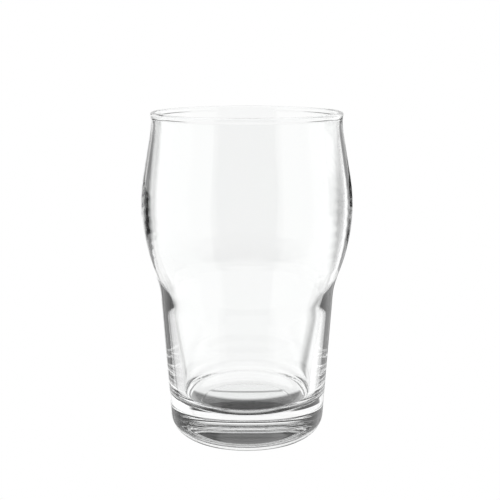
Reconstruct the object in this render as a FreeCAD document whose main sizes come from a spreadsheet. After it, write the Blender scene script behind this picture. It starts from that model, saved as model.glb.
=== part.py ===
import FreeCAD, Part
import math
import os
import Sketcher

# Pint glass: one piece of clear pressed glass, a solid of revolution about Z.
# Z = 0 is the plane it stands on, and the origin is on its axis. Millimetres.
#
# Each wall is drawn as straight runs between corners. A corner's reach is how far
# from it, along both of its runs, the round that replaces it starts. Two reaches
# that share a run stay shorter than the run together.

NODE = "glass_body"

# Driving sizes: alias, value, note.
SIZES = (
    ("total_height", 145.0, "foot plane to the top of the rim"),
    ("rim_radius", 41.5, "outside of the wall just under the rim"),
    ("foot_radius", 34.25, "outer wall carried down to the foot plane"),
    ("neck_drop", 6.6, "top of the rim down to the neck corner"),
    ("bulge_drop", 41.2, "neck corner down to the bulge corner"),
    ("shoulder_drop", 29.3, "bulge corner down to the shoulder corner"),
    ("bulge_out", 7.4, "bulge corner outside the rim radius"),
    ("shoulder_out", 4.55, "shoulder corner outside the foot radius"),
    ("neck_reach", 3.5, "round at the neck"),
    ("bulge_reach", 20.4, "round of the bulge"),
    ("shoulder_reach", 4.2, "hollow round at the shoulder"),
    ("heel_reach", 8.0, "round between the wall and the foot"),
    ("rim_wall", 1.5, "wall thickness at the neck"),
    ("bulge_wall", 3.3, "inner bulge corner inside the outer one"),
    ("bulge_wall_drop", 3.0, "inner bulge corner below the outer one"),
    ("shoulder_wall", 3.2, "inner shoulder corner inside the outer one"),
    ("shoulder_wall_drop", 2.0, "inner shoulder corner below the outer one"),
    ("base_wall", 5.2, "inner wall at the floor, inside the foot radius"),
    ("base_thickness", 16.7, "solid glass from the foot plane to the floor"),
    ("neck_inner_reach", 3.5, "inner round at the neck"),
    ("bulge_inner_reach", 22.0, "inner round of the bulge"),
    ("shoulder_inner_reach", 7.0, "inner round at the shoulder"),
    ("floor_reach", 5.6, "round between the inner wall and the floor"),
    ("bead_round", 1.05, "radius of the fire-polished bead round the rim"),
    ("bead_blend", 0.8, "fillet between the bead and each side of the wall"),
    ("ring_width", 3.4, "flat ring that the glass stands on"),
    ("recess_depth", 0.8, "hollow in the underside, at the axis"),
)


class Length:
    """A length in mm, with the expression that works it out from the sheet."""

    def __init__(self, number, formula):
        self.number = number
        self.formula = formula

    def __add__(self, other):
        return Length(self.number + other.number, f"{self.formula} + {other.formula}")

    def __sub__(self, other):
        return Length(self.number - other.number, f"{self.formula} - ({other.formula})")

    def half(self):
        return Length(self.number / 2, f"({self.formula}) / 2")


size = {alias: Length(value, f"Sizes.{alias}") for alias, value, note in SIZES}

# Corner radii and heights, each from the sizes it depends on.
neck_height = size["total_height"] - size["neck_drop"]
bulge_radius = size["rim_radius"] + size["bulge_out"]
bulge_height = neck_height - size["bulge_drop"]
shoulder_radius = size["foot_radius"] + size["shoulder_out"]
shoulder_height = bulge_height - size["shoulder_drop"]
bead_height = size["total_height"] - size["bead_round"]
bore_radius = size["rim_radius"] - size["rim_wall"]
floor_radius = size["foot_radius"] - size["base_wall"]
ring_inner_radius = size["foot_radius"] - size["heel_reach"] - size["ring_width"]
ON_AXIS = None
ON_FOOT = None

# Outlines as corners: name, radius, height, reach. The axis closes each one.
OUTER_WALL = (
    ("foot_centre", ON_AXIS, ON_FOOT, None),
    ("heel", size["foot_radius"], ON_FOOT, size["heel_reach"]),
    ("shoulder", shoulder_radius, shoulder_height, size["shoulder_reach"]),
    ("bulge", bulge_radius, bulge_height, size["bulge_reach"]),
    ("neck", size["rim_radius"], neck_height, size["neck_reach"]),
    ("rim", size["rim_radius"], bead_height, None),
    ("top", ON_AXIS, bead_height, None),
)
CAVITY = (
    ("floor_centre", ON_AXIS, size["base_thickness"], None),
    ("floor", floor_radius, size["base_thickness"], size["floor_reach"]),
    (
        "shoulder",
        shoulder_radius - size["shoulder_wall"],
        shoulder_height - size["shoulder_wall_drop"],
        size["shoulder_inner_reach"],
    ),
    (
        "bulge",
        bulge_radius - size["bulge_wall"],
        bulge_height - size["bulge_wall_drop"],
        size["bulge_inner_reach"],
    ),
    ("neck", bore_radius, neck_height, size["neck_inner_reach"]),
    ("mouth", bore_radius, size["total_height"], None),
    ("top", ON_AXIS, size["total_height"], None),
)


def make_sheet(doc):
    sheet = doc.addObject("Spreadsheet::Sheet", "Sizes")
    for row, (alias, value, note) in enumerate(SIZES, start=1):
        sheet.set(f"A{row}", alias)
        sheet.set(f"B{row}", str(value))
        sheet.setAlias(f"B{row}", alias)
        sheet.set(f"C{row}", note)
    doc.recompute()


def new_sketch(body, name):
    """A sketch on the body's XZ plane, so that its x is the radius and its y is Z."""
    plane = next(f for f in body.Origin.OriginFeatures if f.Role == "XZ_Plane")
    sketch = body.newObject("Sketcher::SketchObject", name)
    sketch.AttachmentSupport = [(plane, "")]
    sketch.MapMode = "FlatFace"
    return sketch


def bind(sketch, constraint, name, length):
    """Adds a dimension under a name and ties it to the sheet."""
    index = sketch.addConstraint(constraint)
    sketch.renameConstraint(index, name)
    sketch.setExpression(f"Constraints.{name}", length.formula)


def place_point(sketch, name, point, radius, height):
    """Puts a vertex at its radius and height; None means on the axis or the foot plane."""
    if radius is ON_AXIS:
        sketch.addConstraint(Sketcher.Constraint("PointOnObject", *point, -2))
    else:
        distance = Sketcher.Constraint("DistanceX", -1, 1, *point, radius.number)
        bind(sketch, distance, f"{name}_radius", radius)
    if height is ON_FOOT:
        sketch.addConstraint(Sketcher.Constraint("PointOnObject", *point, -1))
    else:
        distance = Sketcher.Constraint("DistanceY", -1, 1, *point, height.number)
        bind(sketch, distance, f"{name}_height", height)


def round_between(before, at, after, reach):
    """The arc that rounds a corner, and whether it is drawn from its first run to its second."""
    to_before = (before - at).normalize()
    to_after = (after - at).normalize()
    half_angle = to_before.getAngle(to_after) / 2
    middle = (to_before + to_after).normalize()
    centre = at + middle * (reach / math.cos(half_angle))
    start = at + to_before * reach
    end = at + to_after * reach
    radius = reach * math.tan(half_angle)
    turns_left = to_before.cross(to_after).z < 0
    first, last = (start, end) if turns_left else (end, start)
    circle = Part.Circle(centre, FreeCAD.Vector(0, 0, 1), radius)
    arc = Part.ArcOfCircle(circle, circle.parameter(first), circle.parameter(last))
    return arc, start, end, turns_left


def draw_outline(sketch, corners):
    """Draws corners as straight runs and rounds, and closes them along the axis."""
    places = [
        FreeCAD.Vector(r.number if r else 0, z.number if z else 0, 0)
        for name, r, z, reach in corners
    ]
    count = len(corners)
    leaves = list(places)
    arrives = list(places)
    rounds = {}
    for i, (name, r, z, reach) in enumerate(corners):
        if reach:
            arc, arrives[i], leaves[i], forward = round_between(
                places[i - 1], places[i], places[(i + 1) % count], reach.number
            )
            rounds[i] = (arc, forward)
    for i, (name, r, z, reach) in enumerate(corners):
        following = (i + 1) % count
        run = arrives[following] - leaves[i]
        if run.dot(places[following] - places[i]) <= 0:
            raise RuntimeError(f"the rounds at {name} and {corners[following][0]} overlap")
    runs = [
        sketch.addGeometry(Part.LineSegment(leaves[i], arrives[(i + 1) % count]))
        for i in range(count)
    ]
    for i, (name, r, z, reach) in enumerate(corners):
        run_in, run_out = runs[i - 1], runs[i]
        if i not in rounds:
            sketch.addConstraint(Sketcher.Constraint("Coincident", run_in, 2, run_out, 1))
            place_point(sketch, name, (run_out, 1), r, z)
            continue
        arc, forward = rounds[i]
        arc_id = sketch.addGeometry(arc)
        first, last = (1, 2) if forward else (2, 1)
        sketch.addConstraint(Sketcher.Constraint("Tangent", run_in, 2, arc_id, first))
        sketch.addConstraint(Sketcher.Constraint("Tangent", run_out, 1, arc_id, last))
        corner_id = sketch.addGeometry(Part.Point(places[i]), True)
        for run in (run_in, run_out):
            sketch.addConstraint(Sketcher.Constraint("PointOnObject", corner_id, 1, run))
        place_point(sketch, name, (corner_id, 1), r, z)
        distance = Sketcher.Constraint("Distance", corner_id, 1, arc_id, first, reach.number)
        bind(sketch, distance, f"{name}_reach", reach)


def draw_recess(sketch):
    """Draws the shallow dome under the base: foot plane, arc and axis."""
    edge = FreeCAD.Vector(ring_inner_radius.number, 0, 0)
    crown = FreeCAD.Vector(0, size["recess_depth"].number, 0)
    radius = (edge.x**2 + crown.y**2) / (2 * crown.y)
    centre = FreeCAD.Vector(0, crown.y - radius, 0)
    circle = Part.Circle(centre, FreeCAD.Vector(0, 0, 1), radius)
    arc = Part.ArcOfCircle(circle, circle.parameter(edge), circle.parameter(crown))
    foot = sketch.addGeometry(Part.LineSegment(FreeCAD.Vector(0, 0, 0), edge))
    dome = sketch.addGeometry(arc)
    axis = sketch.addGeometry(Part.LineSegment(crown, FreeCAD.Vector(0, 0, 0)))
    sketch.addConstraint(Sketcher.Constraint("Coincident", foot, 2, dome, 1))
    sketch.addConstraint(Sketcher.Constraint("Coincident", dome, 2, axis, 1))
    sketch.addConstraint(Sketcher.Constraint("Coincident", axis, 2, foot, 1))
    sketch.addConstraint(Sketcher.Constraint("Coincident", foot, 1, -1, 1))
    sketch.addConstraint(Sketcher.Constraint("PointOnObject", dome, 3, -2))
    place_point(sketch, "recess_edge", (foot, 2), ring_inner_radius, ON_FOOT)
    place_point(sketch, "recess_crown", (axis, 1), ON_AXIS, size["recess_depth"])


def draw_bead(sketch):
    """Draws the section of the rim's bead, centred on the end of the wall."""
    middle = size["rim_radius"] - size["rim_wall"].half()
    centre = FreeCAD.Vector(middle.number, bead_height.number, 0)
    circle = Part.Circle(centre, FreeCAD.Vector(0, 0, 1), size["bead_round"].number)
    bead = sketch.addGeometry(circle)
    place_point(sketch, "bead", (bead, 3), middle, bead_height)
    radius = Sketcher.Constraint("Radius", bead, size["bead_round"].number)
    bind(sketch, radius, "bead_round", size["bead_round"])


def turn(body, feature_type, name, sketch):
    """Turns a sketch once round the axis, to add glass or to take it away."""
    feature = body.newObject(feature_type, name)
    feature.Profile = sketch
    feature.ReferenceAxis = (sketch, ["V_Axis"])
    feature.Angle = 360
    sketch.Document.recompute()
    return feature


def bead_seams(shape):
    """The names of the two circles where the bead meets the wall."""
    middle = (size["rim_radius"] - size["rim_wall"].half()).number
    names = []
    for index, edge in enumerate(shape.Edges, start=1):
        if edge.Degenerated or not isinstance(edge.Curve, Part.Circle):
            continue
        level = edge.Curve.Center.z
        on_wall = math.isclose(abs(edge.Curve.Radius - middle), size["rim_wall"].number / 2)
        if on_wall and bead_height.number - size["bead_round"].number < level < bead_height.number:
            names.append(f"Edge{index}")
    if len(names) != 2:
        raise RuntimeError(f"the bead meets the wall at {len(names)} circles, not 2")
    return names


def check_smaller(before, after, name):
    if not after.Shape.Volume < before:
        raise RuntimeError(f"{name} took no glass away")
    return after.Shape.Volume


def make_glass(doc):
    body = doc.addObject("PartDesign::Body", NODE)
    body.Label = NODE

    outer_sketch = new_sketch(body, "outer_wall")
    draw_outline(outer_sketch, OUTER_WALL)
    blank = turn(body, "PartDesign::Revolution", "blank", outer_sketch)

    cavity_sketch = new_sketch(body, "inner_wall")
    draw_outline(cavity_sketch, CAVITY)
    cavity = turn(body, "PartDesign::Groove", "cavity", cavity_sketch)
    volume = check_smaller(blank.Shape.Volume, cavity, "cavity")

    recess_sketch = new_sketch(body, "underside")
    draw_recess(recess_sketch)
    recess = turn(body, "PartDesign::Groove", "recess", recess_sketch)
    check_smaller(volume, recess, "recess")

    bead_sketch = new_sketch(body, "rim_bead")
    draw_bead(bead_sketch)
    bead = turn(body, "PartDesign::Revolution", "bead", bead_sketch)

    blend = body.newObject("PartDesign::Fillet", "blend")
    blend.Base = (bead, bead_seams(bead.Shape))
    blend.setExpression("Radius", size["bead_blend"].formula)
    body.Tip = blend
    doc.recompute()
    return body


def check(doc, bodies):
    for item in doc.Objects:
        if "Invalid" in item.State or "Error" in item.State:
            raise RuntimeError(f"{item.Label}: {item.State}")
    for body in bodies:
        shape = body.Shape
        if shape.isNull() or not shape.isValid() or len(shape.Solids) != 1:
            raise RuntimeError(f"{body.Label} is not one valid solid")


def brimful_millilitres(body):
    """What the glass holds when it is filled to the top of the rim."""
    height = size["total_height"].number
    plug = Part.makeCylinder(bore_radius.number * 2, height)
    air = plug.cut(body.Shape)
    inside = FreeCAD.Vector(0, 0, height / 2)
    cavity = next(s for s in air.Solids if s.isInside(inside, 0.01, True))
    return cavity.Volume / 1000


def main():
    doc = FreeCAD.newDocument("pint_glass")
    make_sheet(doc)
    glass = make_glass(doc)
    check(doc, [glass])
    os.makedirs("parts", exist_ok=True)
    glass.Shape.exportStep(f"parts/{glass.Label}.step")
    box = glass.Shape.optimalBoundingBox(True, False)
    print(f"{glass.Label}: {box.XLength:.2f} x {box.YLength:.2f} x {box.ZLength:.2f} mm")
    print(f"glass {glass.Shape.Volume / 1000:.1f} ml, holds {brimful_millilitres(glass):.1f} ml")


main()
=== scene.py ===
import math

import bpy
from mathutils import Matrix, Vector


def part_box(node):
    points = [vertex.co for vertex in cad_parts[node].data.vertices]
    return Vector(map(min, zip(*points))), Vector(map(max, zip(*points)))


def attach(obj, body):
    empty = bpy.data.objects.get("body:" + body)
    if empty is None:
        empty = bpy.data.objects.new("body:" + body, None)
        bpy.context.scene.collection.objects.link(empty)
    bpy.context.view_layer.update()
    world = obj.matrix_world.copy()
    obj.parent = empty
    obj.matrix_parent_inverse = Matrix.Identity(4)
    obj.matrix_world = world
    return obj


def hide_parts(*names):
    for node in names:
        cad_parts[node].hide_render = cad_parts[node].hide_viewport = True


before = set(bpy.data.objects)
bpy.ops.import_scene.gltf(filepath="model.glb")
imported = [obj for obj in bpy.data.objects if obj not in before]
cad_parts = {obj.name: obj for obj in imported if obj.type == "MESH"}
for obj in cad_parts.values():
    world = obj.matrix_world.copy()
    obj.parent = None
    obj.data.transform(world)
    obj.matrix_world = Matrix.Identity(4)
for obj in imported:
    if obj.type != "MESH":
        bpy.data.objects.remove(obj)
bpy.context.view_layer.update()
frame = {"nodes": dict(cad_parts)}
lowest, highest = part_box("glass_body")
print("frame loaded:", ", ".join(frame["nodes"]))


class Wire:
    # an output of a node tree; Python's operators on it add Math nodes
    def __init__(self, tree, socket=None):
        self.tree = tree
        self.socket = socket

    def node(self, kind, settings=None, inputs=None, output=0):
        made = self.tree.nodes.new(kind)
        for name, value in (settings or {}).items():
            if name == "items":
                for _ in range(value):
                    made.index_switch_items.new()
            else:
                setattr(made, name, value)
        for name, value in (inputs or {}).items():
            if isinstance(value, Wire):
                self.tree.links.new(value.socket, made.inputs[name])
            else:
                made.inputs[name].default_value = value
        return Wire(self.tree, made.outputs[output])

    def maths(self, operation, first, second=0.0):
        return self.node("ShaderNodeMath", {"operation": operation}, {0: first, 1: second})

    def __add__(self, other):
        return self.maths("ADD", self, other)

    def __radd__(self, other):
        return self.maths("ADD", other, self)

    def __sub__(self, other):
        return self.maths("SUBTRACT", self, other)

    def __rsub__(self, other):
        return self.maths("SUBTRACT", other, self)

    def __mul__(self, other):
        return self.maths("MULTIPLY", self, other)

    def __rmul__(self, other):
        return self.maths("MULTIPLY", other, self)

    def __truediv__(self, other):
        return self.maths("DIVIDE", self, other)

    def smooth(self, low, high):
        # 0 below low, 1 above high, and an even rise between them
        return self.node(
            "ShaderNodeMapRange",
            {"interpolation_type": "SMOOTHSTEP"},
            {"Value": self, "From Min": low, "From Max": high},
        )

    def between(self, low, high, soft):
        return self.smooth(low - soft, low + soft) * (1 - self.smooth(high - soft, high + soft))

    def parts(self):
        # the three numbers of a vector
        split = self.tree.nodes.new("ShaderNodeSeparateXYZ")
        self.tree.links.new(self.socket, split.inputs[0])
        return [Wire(self.tree, number) for number in split.outputs]


# The glass is one wall, turned round the axis. Sizes are in millimetres.
# A reach is how far from its corner, along both runs, a round starts.
glass = {
    "rimRadius": 41.5,
    "footRadius": 34.25,
    "neckDrop": 6.6,
    "bulgeDrop": 41.2,
    "shoulderDrop": 29.3,
    "bulgeOut": 7.4,
    "shoulderOut": 4.55,
    "rimWall": 1.5,
    "bulgeWall": 3.3,
    "bulgeWallDrop": 3.0,
    "shoulderWall": 3.2,
    "shoulderWallDrop": 2.0,
    "baseWall": 5.2,
    "baseThickness": 16.7,
    "beadRound": 1.05,
    "beadSide": 0.45,
    "beadFoot": 1.35,
    "ringInner": 22.85,
    "recessDepth": 0.8,
}
reaches = {
    "ringEdge": 0.35,
    "heel": 8.0,
    "shoulder": 4.2,
    "bulge": 20.4,
    "neck": 3.5,
    "beadFoot": 0.42,
    "beadSide": 0.42,
    "beadTop": 1.05,
    "neckInner": 3.5,
    "bulgeInner": 22.0,
    "shoulderInner": 7.0,
    "floor": 5.6,
}
fineness = {"segments": 320, "spacing": 2.0, "cornerSteps": 9, "weld": 0.002}


def cornerPlaces(s, height):
    # name, radius and height of each corner, from the middle of the foot to the floor
    neck = height - s["neckDrop"]
    bulge = neck - s["bulgeDrop"]
    shoulder = bulge - s["shoulderDrop"]
    bead = height - s["beadRound"]
    bore = s["rimRadius"] - s["rimWall"]
    wallMiddle = s["rimRadius"] - s["rimWall"] * 0.5
    beadOuter = wallMiddle + s["beadRound"]
    beadInner = wallMiddle - s["beadRound"]
    bulgeRadius = s["rimRadius"] + s["bulgeOut"]
    shoulderRadius = s["footRadius"] + s["shoulderOut"]
    return [
        ("crown", 0.0, s["recessDepth"]),
        ("recess", s["ringInner"] * 0.5, s["recessDepth"]),
        ("ringEdge", s["ringInner"], 0.0),
        ("heel", s["footRadius"], 0.0),
        ("shoulder", shoulderRadius, shoulder),
        ("bulge", bulgeRadius, bulge),
        ("neck", s["rimRadius"], neck),
        ("beadFoot", s["rimRadius"], bead - s["beadFoot"]),
        ("beadSide", beadOuter, bead - s["beadSide"]),
        ("beadTop", beadOuter, height),
        ("beadTop", beadInner, height),
        ("beadSide", beadInner, bead - s["beadSide"]),
        ("beadFoot", bore, bead - s["beadFoot"]),
        ("neckInner", bore, neck),
        ("bulgeInner", bulgeRadius - s["bulgeWall"], bulge - s["bulgeWallDrop"]),
        ("shoulderInner", shoulderRadius - s["shoulderWall"], shoulder - s["shoulderWallDrop"]),
        ("floor", s["footRadius"] - s["baseWall"], s["baseThickness"]),
        ("floorMiddle", 0.0, s["baseThickness"]),
    ]


def roundRadii(height):
    # the radius of each corner's round, from its reach and the angle of its two runs
    corners = cornerPlaces(glass, height)
    radii = [0.0]
    for before, at, after in zip(corners, corners[1:], corners[2:]):
        reach = reaches.get(at[0], glass["ringInner"] / 2)
        into = math.atan2(before[2] - at[2], before[1] - at[1])
        out = math.atan2(after[2] - at[2], after[1] - at[1])
        angle = abs((into - out + math.pi) % (2 * math.pi) - math.pi)
        radii.append(reach * math.tan(angle / 2))
    return radii + [0.0]


def latheTree(material):
    tree = bpy.data.node_groups.new("glassLathe", "GeometryNodeTree")
    tree.is_modifier = True
    face = tree.interface
    face.new_socket("Geometry", in_out="INPUT", socket_type="NodeSocketGeometry")
    face.new_socket("Height", in_out="INPUT", socket_type="NodeSocketFloat")
    for name in glass:
        face.new_socket(name, in_out="INPUT", socket_type="NodeSocketFloat")
    for name in ("segments", "cornerSteps"):
        face.new_socket(name, in_out="INPUT", socket_type="NodeSocketInt")
    for name in ("spacing", "weld"):
        face.new_socket(name, in_out="INPUT", socket_type="NodeSocketFloat")
    face.new_socket("Geometry", in_out="OUTPUT", socket_type="NodeSocketGeometry")

    given = tree.nodes.new("NodeGroupInput")
    size = {s.name: Wire(tree, s) for s in given.outputs if s.name}
    build = Wire(tree)
    corners = cornerPlaces(size, size["Height"])
    radii = roundRadii(highest.z * 1000)
    count = len(corners)

    places = {"Index": build.node("GeometryNodeInputIndex")}
    rounds = dict(places)
    for i, (name, radius, height) in enumerate(corners):
        offset = radius - size["rimRadius"]
        places[str(i)] = build.node("ShaderNodeCombineXYZ", {}, {"X": offset, "Y": 0.0 - height})
        rounds[str(i)] = radii[i]
    place = build.node(
        "GeometryNodeIndexSwitch", {"data_type": "VECTOR", "items": count - 2}, places
    )
    rounding = build.node(
        "GeometryNodeIndexSwitch", {"data_type": "FLOAT", "items": count - 2}, rounds
    )
    line = build.node("GeometryNodeMeshLine", {}, {"Count": count})
    line = build.node("GeometryNodeSetPosition", {}, {"Geometry": line, "Position": place})
    wall = build.node("GeometryNodeMeshToCurve", {}, {"Mesh": line})
    wall = build.node(
        "GeometryNodeFilletCurve",
        {"mode": "POLY"},
        {"Curve": wall, "Count": size["cornerSteps"], "Radius": rounding},
    )

    # long runs get rows of their own, so that the shading stays true beside a round
    here = build.node("GeometryNodeInputPosition")
    following = build.node("GeometryNodeInputIndex") + 1
    there = build.node(
        "GeometryNodeFieldAtIndex",
        {"data_type": "FLOAT_VECTOR"},
        {"Index": following, "Value": here},
    )
    run = build.node(
        "ShaderNodeVectorMath", {"operation": "DISTANCE"}, {0: here, 1: there}, "Value"
    )
    wall = build.node(
        "GeometryNodeSubdivideCurve", {}, {"Curve": wall, "Cuts": run / size["spacing"]}
    )
    path = build.node(
        "GeometryNodeCurvePrimitiveCircle",
        {},
        {"Resolution": size["segments"], "Radius": size["rimRadius"]},
    )
    path = build.node("GeometryNodeSetCurveNormal", {"mode": "Z_UP"}, {"Curve": path})
    skin = build.node(
        "GeometryNodeCurveToMesh", {}, {"Curve": path, "Profile Curve": wall}
    )
    skin = build.node(
        "GeometryNodeMergeByDistance", {}, {"Geometry": skin, "Distance": size["weld"]}
    )
    skin = build.node("GeometryNodeTransform", {}, {"Geometry": skin, "Scale": (0.001,) * 3})
    skin = build.node("GeometryNodeFlipFaces", {}, {"Mesh": skin})
    skin = build.node("GeometryNodeSetShadeSmooth", {}, {"Geometry": skin})
    skin = build.node("GeometryNodeRealizeInstances", {}, {"Geometry": skin})
    skin = build.node("GeometryNodeSetMaterial", {}, {"Geometry": skin, "Material": material})
    result = tree.nodes.new("NodeGroupOutput")
    tree.links.new(skin.socket, result.inputs[0])
    return tree


def plainMesh(name, tree, values):
    # runs a tree once and keeps only the mesh that it makes
    maker = bpy.data.objects.new(name + "Maker", bpy.data.meshes.new(name + "Maker"))
    bpy.context.scene.collection.objects.link(maker)
    modifier = maker.modifiers.new("lathe", "NODES")
    modifier.node_group = tree
    for item in tree.interface.items_tree:
        if item.in_out == "INPUT" and item.name in values:
            modifier[item.identifier] = values[item.name]
    graph = bpy.context.evaluated_depsgraph_get()
    mesh = bpy.data.meshes.new_from_object(maker.evaluated_get(graph))
    maker.modifiers.remove(modifier)
    bpy.data.objects.remove(maker)
    mesh.name = name
    piece = bpy.data.objects.new(name, mesh)
    bpy.context.scene.collection.objects.link(piece)
    return piece


finish = {
    "ior": 1.52,
    "tint": (0.985, 0.995, 0.99, 1.0),
    "clean": (1.0, 1.0, 1.0, 1.0),
    "cloud": {"scale": 60.0, "detail": 2.0, "smudged": (0.5, 0.8)},
    "smudge": 0.01,
    "ripple": {"scale": (38.0, 38.0, 14.0), "depth": 0.0004, "strength": 0.12},
    "wear": {"ring": (0.0225, 0.0268), "edge": 0.0006, "height": (0.0001, 0.0006)},
    "wearRoughness": 0.12,
    "scratches": {"scale": 900.0, "detail": 3.0, "shown": (0.4, 0.7)},
}


def clearGlass():
    material = bpy.data.materials.new("clearGlass")
    material.use_nodes = True
    tree = material.node_tree
    shader = tree.nodes["Principled BSDF"]
    shader.inputs["IOR"].default_value = finish["ior"]
    shader.inputs["Transmission Weight"].default_value = 1.0
    build = Wire(tree)
    place = build.node("ShaderNodeTexCoord", output="Object")
    mist = finish["cloud"]
    cloud = build.node(
        "ShaderNodeTexNoise",
        {},
        {"Vector": place, "Scale": mist["scale"], "Detail": mist["detail"]},
    )
    colour = build.node(
        "ShaderNodeMix",
        {"data_type": "RGBA"},
        {"Factor": cloud, "A": finish["clean"], "B": finish["tint"]},
        "Result",
    )
    tree.links.new(colour.socket, shader.inputs["Base Color"])
    # the foot ring is scuffed where it has stood on tables
    x, y, z = place.parts()
    radius = build.maths("SQRT", x * x + y * y)
    wear = finish["wear"]
    ring = radius.between(*wear["ring"], wear["edge"]) * (1 - z.smooth(*wear["height"]))
    marks = finish["scratches"]
    scratch = build.node(
        "ShaderNodeTexNoise",
        {},
        {"Vector": place, "Scale": marks["scale"], "Detail": marks["detail"]},
    )
    scuff = ring * scratch.smooth(*marks["shown"]) * finish["wearRoughness"]
    roughness = cloud.smooth(*mist["smudged"]) * finish["smudge"] + scuff
    tree.links.new(roughness.socket, shader.inputs["Roughness"])
    # pressed glass is never quite even: long, very shallow ripples down the wall
    ripple = finish["ripple"]
    stretched = build.node(
        "ShaderNodeVectorMath", {"operation": "MULTIPLY"}, {0: place, 1: ripple["scale"]}
    )
    waves = build.node(
        "ShaderNodeTexNoise", {}, {"Vector": stretched, "Scale": 1.0, "Detail": 0.0}
    )
    normal = build.node(
        "ShaderNodeBump",
        {},
        {"Strength": ripple["strength"], "Distance": ripple["depth"], "Height": waves},
    )
    tree.links.new(normal.socket, shader.inputs["Normal"])
    return material


glassFinish = clearGlass()
latheValues = dict(glass, Height=highest.z * 1000, **fineness)
body = plainMesh("glassBody", latheTree(glassFinish), latheValues)
print("glass turned:", len(body.data.polygons), "faces")
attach(body, "root")
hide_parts("glass_body")


# light comes from bright panels at set directions, with dark gaps between them
studio = {
    "floorSize": 8.0,
    "floorGlow": 1.0,
    "dark": 0.02,
    "floorDrop": 0.0003,
    "turns": 11,
    "spareTurns": 4,
    # azimuths, softness, elevations, softness and strength; azimuth 0 is behind the glass
    "panels": {
        "backdrop": (-24, 15, 4, -34, 19.2, 0.6, 0.97),
        "farLeft": (-58, -24, 4, -4, 19.2, 0.6, 1.0),
        "farRight": (15, 33, 4, -4, 19.2, 0.6, 1.0),
        "lowLeft": (-58, -27, 4, -34, -15, 0.6, 0.9),
        "lowRight": (19, 33, 4, -34, -15, 0.6, 0.9),
        "table": (-400, 400, 1, -95, -34, 0.6, 1.0),
        "leftBox": (-141, -58, 1.5, -34, 20, 2, 0.98),
        "rightBox": (33, 141, 3, -34, 20, 2, 0.9),
        "rightCore": (36, 104, 5, -34, 10, 3, 0.3),
        "front": (141, 219, 1.5, -34, 20, 3, 0.4),
        "frontLeft": (-219, -141, 1.5, -34, 20, 3, 0.4),
        "ceiling": (-400, 400, 1, 47, 95, 3, 1.0),
        "above": (-24, 15, 4, 19.2, 43, 0.6, 0.12),
    },
}


# The disc of painted shade and light under the foot. Radius and drop are in metres; lit, front
# and the painted dark line in millimetres, and side and the ends of that line in square
# millimetres. The glows and the depth are shares of full light.
shade = {
    "radius": 0.0335,
    "drop": 0.0001,
    "sides": 96,
    "lit": (3.0, 7.0),
    "bow": 0.01,
    "side": (300.0, 1000.0),
    "sideGlow": 0.2,
    "front": (22.0, 31.0),
    "frontGlow": 0.6,
    # a painted dark line of shade across the lit half of the disc
    "paintedShadeLine": (12.8, 14.6, 0.5),
    "paintedShadeLineEnds": (250.0, 420.0),
    "paintedShadeLineDepth": 0.75,
}


def lightField():
    world = bpy.data.worlds.new("studioField")
    bpy.context.scene.world = world
    world.use_nodes = True
    tree = world.node_tree
    build = Wire(tree)
    x, y, z = build.node("ShaderNodeTexCoord", output="Generated").parts()
    elevation = build.maths("ARCSINE", z) * (180 / math.pi)
    # 0 is behind the glass, 90 to its right, 180 at the camera
    azimuth = build.maths("ARCTAN2", x, y) * (180 / math.pi)
    light = studio["dark"]
    for left, right, edge, low, high, fade, glow in studio["panels"].values():
        panel = azimuth.between(left, right, edge) * elevation.between(low, high, fade)
        light = light + panel * glow
    # the camera itself sees plain white instead of the panels
    seen = build.node("ShaderNodeLightPath", output="Is Camera Ray")
    strength = build.node("ShaderNodeMix", {}, {"Factor": seen, "A": light, "B": 1.0})
    back = tree.nodes["Background"]
    tree.links.new(strength.socket, back.inputs["Strength"])
    back.inputs["Color"].default_value = (1.0, 1.0, 1.0, 1.0)


def glowingMaterial(name, strength):
    # black apart from the light that it gives, so that nothing lights it
    material = bpy.data.materials.new(name)
    material.use_nodes = True
    shader = material.node_tree.nodes["Principled BSDF"]
    shader.inputs["Base Color"].default_value = (0.0, 0.0, 0.0, 1.0)
    shader.inputs["Specular IOR Level"].default_value = 0.0
    shader.inputs["Emission Color"].default_value = (1.0, 1.0, 1.0, 1.0)
    shader.inputs["Emission Strength"].default_value = strength
    return material


def paleFloor():
    half = studio["floorSize"] / 2
    mesh = bpy.data.meshes.new("floor")
    mesh.from_pydata(
        [(-half, -half, 0), (half, -half, 0), (half, half, 0), (-half, half, 0)],
        [],
        [(0, 1, 2, 3)],
    )
    floor = bpy.data.objects.new("floor", mesh)
    bpy.context.scene.collection.objects.link(floor)
    mesh.materials.append(glowingMaterial("paleFloor", studio["floorGlow"]))
    floor.visible_glossy = False
    floor.visible_transmission = False
    floor.visible_shadow = False
    floor.location.z = lowest.z - studio["floorDrop"]


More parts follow.
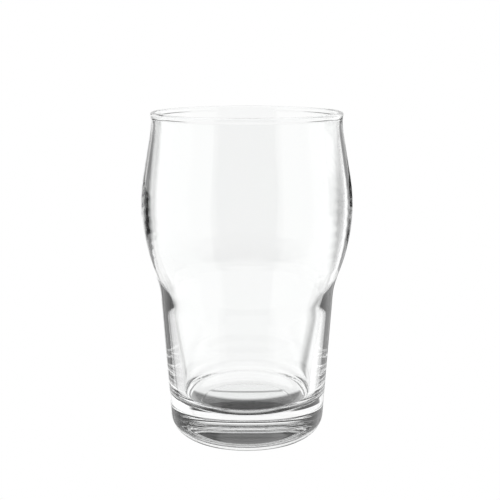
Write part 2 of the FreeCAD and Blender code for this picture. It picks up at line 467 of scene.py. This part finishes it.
def footShade():
    # painted shade, seen only through the glass: the floor in the foot's own shade, painted
    # light behind and dark in front
    radius, sides = shade["radius"], shade["sides"]
    turns = [2 * math.pi * i / sides for i in range(sides)]
    ring = [(radius * math.cos(turn), radius * math.sin(turn), 0.0) for turn in turns]
    mesh = bpy.data.meshes.new("footShade")
    mesh.from_pydata(ring, [], [range(sides)])
    disc = bpy.data.objects.new("footShade", mesh)
    bpy.context.scene.collection.objects.link(disc)
    material = glowingMaterial("footShade", 1.0)
    tree = material.node_tree
    build = Wire(tree)
    place = build.node("ShaderNodeTexCoord", output="Object").parts()
    x, y = (number * 1000 for number in place[:2])
    square = x * x
    lit = (y - square * shade["bow"]).smooth(*shade["lit"])
    # painted shade: a thin dark line across the disc, fading out towards its sides
    paintedShadeLine = y.between(*shade["paintedShadeLine"]) * (1 - square.smooth(*shade["paintedShadeLineEnds"]))
    lit = lit * (1 - paintedShadeLine * shade["paintedShadeLineDepth"])
    side = square.smooth(*shade["side"])
    front = (0.0 - y).smooth(*shade["front"])
    glow = lit + (1 - lit) * (side * shade["sideGlow"] + front * shade["frontGlow"])
    grey = build.node("ShaderNodeCombineColor", {}, {"Red": glow, "Green": glow, "Blue": glow})
    tree.links.new(grey.socket, tree.nodes["Principled BSDF"].inputs["Emission Color"])
    mesh.materials.append(material)
    disc.visible_camera = False
    disc.visible_shadow = False
    disc.location.z = lowest.z - shade["drop"]


lightField()
paleFloor()
footShade()
bpy.context.scene.view_settings.view_transform = "Standard"
# light that is caught in the thick base and the walls turns many times before it leaves
paths = bpy.context.scene.cycles
paths.glossy_bounces = studio["turns"]
paths.max_bounces = paths.transmission_bounces = studio["turns"] + studio["spareTurns"]
print("studio lit")

# lens in millimetres, places in metres, angles in degrees
view = {"lens": 70.26, "distance": 0.4262, "height": 0.1729, "down": 11.83, "turn": -0.182}
lens = bpy.data.cameras.new("camera")
lens.sensor_width = 36.0
lens.lens = view["lens"]
camera = bpy.data.objects.new("camera", lens)
camera.location = (0.0, -view["distance"], view["height"])
camera.rotation_euler = (math.radians(90 - view["down"]), 0.0, math.radians(view["turn"]))
bpy.context.scene.collection.objects.link(camera)
bpy.context.scene.camera = camera
print("camera set")
